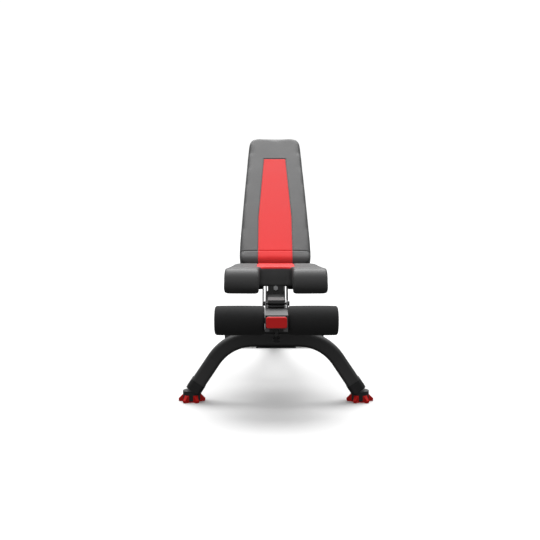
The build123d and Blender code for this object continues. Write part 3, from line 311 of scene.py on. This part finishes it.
def points_of(mesh):
    """The mesh's vertices as an array."""
    flat = np.empty(len(mesh.vertices) * 3)
    mesh.vertices.foreach_get("co", flat)
    return flat.reshape(-1, 3)


def normals_of(mesh):
    """The mesh's vertex normals as an array."""
    flat = np.empty(len(mesh.vertices) * 3)
    mesh.vertex_normals.foreach_get("vector", flat)
    return flat.reshape(-1, 3)


def set_points(mesh, points):
    """Moves the mesh's vertices."""
    mesh.vertices.foreach_set("co", points.ravel())
    mesh.update()


def applied(piece):
    """The piece's mesh with its modifiers worked in, and the modifiers removed."""
    evaluated = piece.evaluated_get(bpy.context.evaluated_depsgraph_get())
    mesh = bpy.data.meshes.new_from_object(evaluated)
    piece.modifiers.clear()
    piece.data = mesh
    return mesh


def smoothed(mesh, rounds):
    """Evens out the surface, which rounds its edges a little."""
    work = bmesh.new()
    work.from_mesh(mesh)
    for _ in range(rounds):
        bmesh.ops.smooth_vert(
            work, verts=work.verts, factor=0.5, use_axis_x=True, use_axis_y=True, use_axis_z=True
        )
    work.to_mesh(mesh)
    work.free()


def stuffed(name, node, shrink, height):
    """A cushion: the soft CAD solid remeshed, drawn in a little, then inflated as cloth.

    The height function gives each point's height above the board, where the cover is stapled.
    """
    mesh = nodes[node].data.copy()
    work = bmesh.new()
    work.from_mesh(mesh)
    bmesh.ops.remove_doubles(work, verts=work.verts, dist=1e-6)
    work.to_mesh(mesh)
    work.free()
    piece = bpy.data.objects.new(name, mesh)
    scene.collection.objects.link(piece)
    remesh = piece.modifiers.new("even", "REMESH")
    remesh.mode = "VOXEL"
    remesh.voxel_size = VOXEL
    mesh = applied(piece)
    smoothed(mesh, CUSHION_ROUNDS)
    free = np.clip(height(points_of(mesh)) / STAPLED, 0, 1)[:, None]
    set_points(mesh, points_of(mesh) - shrink * free * normals_of(mesh))
    start = points_of(mesh)
    cloth = piece.modifiers.new("cover", "CLOTH")
    cloth.settings.use_pressure = True
    cloth.settings.uniform_pressure_force = 4.0
    cloth.settings.effector_weights.gravity = 0.0
    cloth.point_cache.frame_start = 1
    cloth.point_cache.frame_end = SIM_FRAMES
    for step in range(1, SIM_FRAMES + 1):
        scene.frame_set(step)
    mesh = applied(piece)
    move = points_of(mesh) - start
    length = np.maximum(np.linalg.norm(move, axis=1), 1e-9)[:, None]
    capped = move * (CUSHION_CAP / length) * np.tanh(length / CUSHION_CAP)
    set_points(mesh, start + free * capped)
    smoothed(mesh, AFTER_ROUNDS)
    scene.frame_set(1)
    divide = piece.modifiers.new("fine", "SUBSURF")
    divide.levels = 1
    return piece, applied(piece)


def fitted(mesh, axes, origin, low, high):
    """Brings the cushion back to its full size along three axes, as the smoothing drew it in."""
    turn = np.array(axes)
    local = (points_of(mesh) - np.array(origin)) @ turn.T
    least, most = local.min(axis=0), local.max(axis=0)
    local = np.array(low) + (local - least) / (most - least) * (np.array(high) - np.array(low))
    set_points(mesh, local @ turn + np.array(origin))


def cut(mesh, point, normal):
    """Splits the mesh's faces along a plane, so that a panel's edge runs straight."""
    work = bmesh.new()
    work.from_mesh(mesh)
    everything = work.verts[:] + work.edges[:] + work.faces[:]
    bmesh.ops.bisect_plane(work, geom=everything, dist=1e-5, plane_co=point, plane_no=normal)
    work.to_mesh(mesh)
    work.free()


def line_distance(flat, first, last):
    """Distance of many 2D points from one straight seam."""
    first, last = np.array(first), np.array(last)
    run = last - first
    along = np.clip(((flat - first) @ run) / (run @ run), 0, 1)
    return np.linalg.norm(flat - (first + along[:, None] * run), axis=1)


def pressed(mesh, distance, where):
    """Sinks a stitched seam into the surface, by distance from the seam, where the mask is set."""
    depth = SEAM_DEPTH * np.exp(-((distance / SEAM_WIDTH) ** 2)) * where
    set_points(mesh, points_of(mesh) - depth[:, None] * normals_of(mesh))


def paneled(mesh, main, panel, inside):
    """Gives the panel's faces their own vinyl."""
    mesh.materials.clear()
    mesh.materials.append(finishes[main])
    mesh.materials.append(finishes[panel])
    centres = np.empty(len(mesh.polygons) * 3)
    mesh.polygons.foreach_get("center", centres)
    mesh.polygons.foreach_set("material_index", inside(centres.reshape(-1, 3)).astype(np.int32))
    mesh.polygons.foreach_set("use_smooth", np.ones(len(mesh.polygons), bool))
    mesh.update()


# ---------------------------------------------------------------- back pad
def pad_numbers(points):
    """Distance across, up the pad and off the hinge line, for many points."""
    offset = points - np.array(hinge)
    return points[:, 0], offset @ np.array(up_pad), offset @ np.array(off_pad)


def strip_half(up):
    """Half width of the red panel at a distance up the pad."""
    return STRIP_HALF - STRIP_SLOPE * np.maximum(up - STRIP_BEND, 0)


back_pad, back_mesh = stuffed(
    "back_pad", "back_foam", 0.001, lambda points: pad_numbers(points)[2] - PAD_BACK
)
pad_half = (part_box("back_foam")[1].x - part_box("back_foam")[0].x) / 2
pad_least = (-pad_half, PAD_LOW, PAD_BACK)
pad_most = (pad_half, PAD_HIGH, PAD_FACE)
fitted(back_mesh, ((1, 0, 0), up_pad, off_pad), hinge, pad_least, pad_most)
for side in (-1, 1):
    cut(back_mesh, (side * STRIP_HALF, 0, 0), (1, 0, 0))
    strip_corner = Vector((side * STRIP_TOP_HALF, hinge.y, hinge.z)) + up_pad * STRIP_TOP
    cut(back_mesh, strip_corner, Vector((1, 0, 0)) + side * up_pad * STRIP_SLOPE)
cut(back_mesh, hinge + up_pad * STRIP_TOP, up_pad)
across, up, off = pad_numbers(points_of(back_mesh))
flat = np.stack([np.abs(across), up], axis=1)
seam = np.minimum(
    line_distance(flat, (STRIP_HALF, -SEAM_PAST), (STRIP_HALF, STRIP_BEND)),
    line_distance(flat, (STRIP_HALF, STRIP_BEND), (STRIP_TOP_HALF, STRIP_TOP)),
)
seam = np.minimum(seam, line_distance(flat, (0, STRIP_TOP), (STRIP_TOP_HALF, STRIP_TOP)))
seam = np.minimum(seam, line_distance(flat, (0, ROLL_SEAM), (PAD_PAST, ROLL_SEAM)))
pressed(back_mesh, seam, off > PAD_BACK + SEAM_SIDE)


def in_back_strip(points):
    """The red panel of the back pad, on its face and rolled lower edge."""
    x, u, v = pad_numbers(points)
    return (np.abs(x) < strip_half(u)) & (u < STRIP_TOP) & (v > PAD_FACE - PANEL_DEEP)


paneled(back_mesh, "vinyl_black", "vinyl_red", in_back_strip)
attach(back_pad, "back")
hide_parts("back_foam")

# ---------------------------------------------------------------- seat pad
seat_board_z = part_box("seat_board")[0].z
seat_pad, seat_mesh = stuffed(
    "seat_pad", "seat_foam", 0.0005, lambda points: np.abs(points[:, 2] - seat_board_z)
)
fitted(seat_mesh, np.eye(3), (0, 0, 0), seat_low - SAG, seat_high)
notch_rear = feet_y + NOTCH_DEEP
for side in (-1, 1):
    cut(seat_mesh, (side * STRIP_HALF, 0, 0), (1, 0, 0))
cut(seat_mesh, (0, notch_rear - NOTCH_LIP, 0), (0, 1, 0))
cut(seat_mesh, (0, 0, seat_high.z - LIP), (0, 0, 1))
spots = points_of(seat_mesh)
flat = np.stack([np.abs(spots[:, 0]), spots[:, 1]], axis=1)
seam = line_distance(flat, (STRIP_HALF, notch_rear), (STRIP_HALF, seat_high.y + SEAM_PAST))
crest_y = seat_low.y + CREST_BACK
crest = line_distance(flat, (CREST_INNER, crest_y), (PAD_PAST, crest_y))
on_top = spots[:, 2] > seat_high.z - TOP_DEEP
pressed(seat_mesh, np.minimum(seam, crest), on_top)


def in_seat_strip(points):
    """The red panel of the seat, with its lip at the notch."""
    return (
        (np.abs(points[:, 0]) < STRIP_HALF)
        & (points[:, 1] > notch_rear - NOTCH_LIP)
        & (points[:, 2] > seat_high.z - LIP)
    )


paneled(seat_mesh, "vinyl_black", "vinyl_red", in_seat_strip)
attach(seat_pad, "frame")
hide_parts("seat_foam")

# ---------------------------------------------------------------- foam rollers
ROLLER_SEGMENTS = 96
SHOULDER = 0.009            # radius of the sleeve's rounded ends
SHOULDER_STEPS = 8
CROWN_HEIGHT = 0.0008       # the sleeve is this much thicker at the middle of its length
CROWN_STEPS = 24
SLEEVE_GAP = 0.0004         # the sleeve stays this far inside its solid and off the core's flange
RECESS_PAST = 0.003         # the recess for the flange goes this much deeper than the flange
EDGE_STEP = 0.001           # the rolled edges of the recess and of the bore are drawn in such steps
BORE_SHARE = 0.5            # hidden bore's radius as a share of the recess's


def lathe(name, profile, centre, segments):
    """Closed ring turned about X from (along, radius) points; along runs out from the middle."""
    work = bmesh.new()
    rings = []
    for turn in range(segments):
        angle = 2 * pi * turn / segments
        rings.append([
            work.verts.new((along, centre.y + radius * cos(angle), centre.z + radius * sin(angle)))
            for along, radius in profile
        ])
    count = len(profile)
    for turn in range(segments):
        here, there = rings[turn], rings[(turn + 1) % segments]
        for k in range(count):
            work.faces.new((here[k], here[(k + 1) % count], there[(k + 1) % count], there[k]))
    bmesh.ops.recalc_face_normals(work, faces=work.faces)
    mesh = bpy.data.meshes.new(name)
    work.to_mesh(mesh)
    work.free()
    return mesh


def sleeve_profile(inner, outer, bore, radius, deep):
    """Foam sleeve's half section: soft shoulders, a faint crown and a recess for the core's flange."""
    side = 1 if outer > inner else -1
    length = abs(outer - inner)
    turns = [pi / 2 * k / SHOULDER_STEPS for k in range(SHOULDER_STEPS + 1)]
    left = [(SHOULDER * (1 - sin(t)), radius - SHOULDER * (1 - cos(t))) for t in reversed(turns)]
    right = [(length - a, r) for a, r in reversed(left)]
    steps = [k / CROWN_STEPS for k in range(2, CROWN_STEPS - 1)]
    body = [(length * s, radius + CROWN_HEIGHT * sin(pi * s)) for s in steps]
    hidden = bore * BORE_SHARE
    outer_end = [
        (length - EDGE_STEP, bore + 4 * EDGE_STEP),
        (length - 3 * EDGE_STEP, bore + EDGE_STEP),
        (length - deep, bore),
        (length - deep, hidden),
    ]
    inner_end = [(3 * EDGE_STEP, hidden), (3 * EDGE_STEP, bore), (EDGE_STEP / 2, bore + 2 * EDGE_STEP)]
    return [(inner + side * a, r) for a, r in left + body + right + outer_end + inner_end]


for side, sign in (("left", -1), ("right", 1)):
    low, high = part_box(f"roller_foam_{side}")
    core_low, core_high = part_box(f"roller_core_{side}")
    flange = (core_high.z - core_low.z) / 2 + SLEEVE_GAP
    inner, outer = (high.x, low.x) if sign < 0 else (low.x, high.x)
    core_end = core_low.x if sign < 0 else core_high.x
    deep = abs(outer - core_end) + RECESS_PAST
    profile = sleeve_profile(inner, outer, flange, (high.z - low.z) / 2 - SLEEVE_GAP, deep)
    mesh = lathe(f"roller_sleeve_{side}", profile, middle(f"roller_foam_{side}"), ROLLER_SEGMENTS)
    sleeve = new_piece(f"roller_sleeve_{side}", mesh, "foam_black", f"roller_{side}")
    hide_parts(f"roller_foam_{side}")

# ---------------------------------------------------------------- floor, light and camera
FLOOR_HALF = 30.0
floor_mesh = bpy.data.meshes.new("floor")
corners = [(x * FLOOR_HALF, y * FLOOR_HALF, 0) for x, y in ((-1, -1), (1, -1), (1, 1), (-1, 1))]
floor_mesh.from_pydata(corners, [], [(0, 1, 2, 3)])
floor = bpy.data.objects.new("floor", floor_mesh)
scene.collection.objects.link(floor)
floor_finish = Finish(
    "studio_floor", Base_Color=(0.84, 0.84, 0.84, 1.0), Roughness=0.9, Specular_IOR_Level=0.0
)
floor_mesh.materials.append(floor_finish.material)
floor.visible_diffuse = False   # a backdrop only: it throws no light up under the bench
floor.visible_glossy = False

SKY_SIDE = 0.52
SKY_BELOW = 0.06
SKY_TOP = 0.6               # added straight overhead
SKY_SEEN = 1.05             # what the camera sees behind the bench
BELOW_TO_SIDE = (-0.35, 0.05)  # height of the direction, where the light from below gives way
SIDE_TO_TOP = (0.6, 1.0)    # and where the overhead light comes in
SUN_TILT = radians(28)
SUN_SPREAD = radians(50)
SUN_STRENGTH = 2.9


def studio_world():
    """White behind the object, and a softer light from above than from below on it."""
    world = bpy.data.worlds.new("studio")
    world.use_nodes = True
    tree = world.node_tree
    background = tree.nodes["Background"]
    spot = tree.nodes.new("ShaderNodeTexCoord")
    split = tree.nodes.new("ShaderNodeSeparateXYZ")
    tree.links.new(spot.outputs["Generated"], split.inputs[0])
    parts = []
    for heights, strengths in (
        (BELOW_TO_SIDE, (SKY_BELOW, SKY_SIDE)),
        (SIDE_TO_TOP, (0.0, SKY_TOP)),
    ):
        ramp = tree.nodes.new("ShaderNodeMapRange")
        ramp.inputs["From Min"].default_value, ramp.inputs["From Max"].default_value = heights
        ramp.inputs["To Min"].default_value, ramp.inputs["To Max"].default_value = strengths
        tree.links.new(split.outputs["Z"], ramp.inputs["Value"])
        parts.append(ramp.outputs[0])
    height = tree.nodes.new("ShaderNodeMath")
    tree.links.new(parts[0], height.inputs[0])
    tree.links.new(parts[1], height.inputs[1])
    rays = tree.nodes.new("ShaderNodeLightPath")
    choose = tree.nodes.new("ShaderNodeMix")
    tree.links.new(rays.outputs["Is Camera Ray"], choose.inputs[0])
    tree.links.new(height.outputs[0], choose.inputs[2])
    choose.inputs[3].default_value = SKY_SEEN
    tree.links.new(choose.outputs[0], background.inputs["Strength"])
    background.inputs["Color"].default_value = (1, 1, 1, 1)
    return world


scene.world = studio_world()
sun_light = bpy.data.lights.new("overhead", "SUN")
sun_light.energy = SUN_STRENGTH
sun_light.angle = SUN_SPREAD
sun = bpy.data.objects.new("overhead", sun_light)
sun.rotation_euler = (-SUN_TILT, 0, 0)
scene.collection.objects.link(sun)

CAMERA_BACK = 2.5           # in front of the front feet
CAMERA_SIDE = -0.0205
CAMERA_HEIGHT = 0.62
CAMERA_TILT = radians(3.82444)  # downwards
SENSOR = 36.0               # millimetres, as is the lens
LENS = 48.8667
camera_data = bpy.data.cameras.new("camera")
camera_data.sensor_width = SENSOR
camera_data.lens = LENS
camera = bpy.data.objects.new("camera", camera_data)
camera.location = (CAMERA_SIDE, feet_y - CAMERA_BACK, CAMERA_HEIGHT)
camera.rotation_euler = (pi / 2 - CAMERA_TILT, 0, 0)
scene.collection.objects.link(camera)
scene.camera = camera
scene.view_settings.view_transform = "Standard"
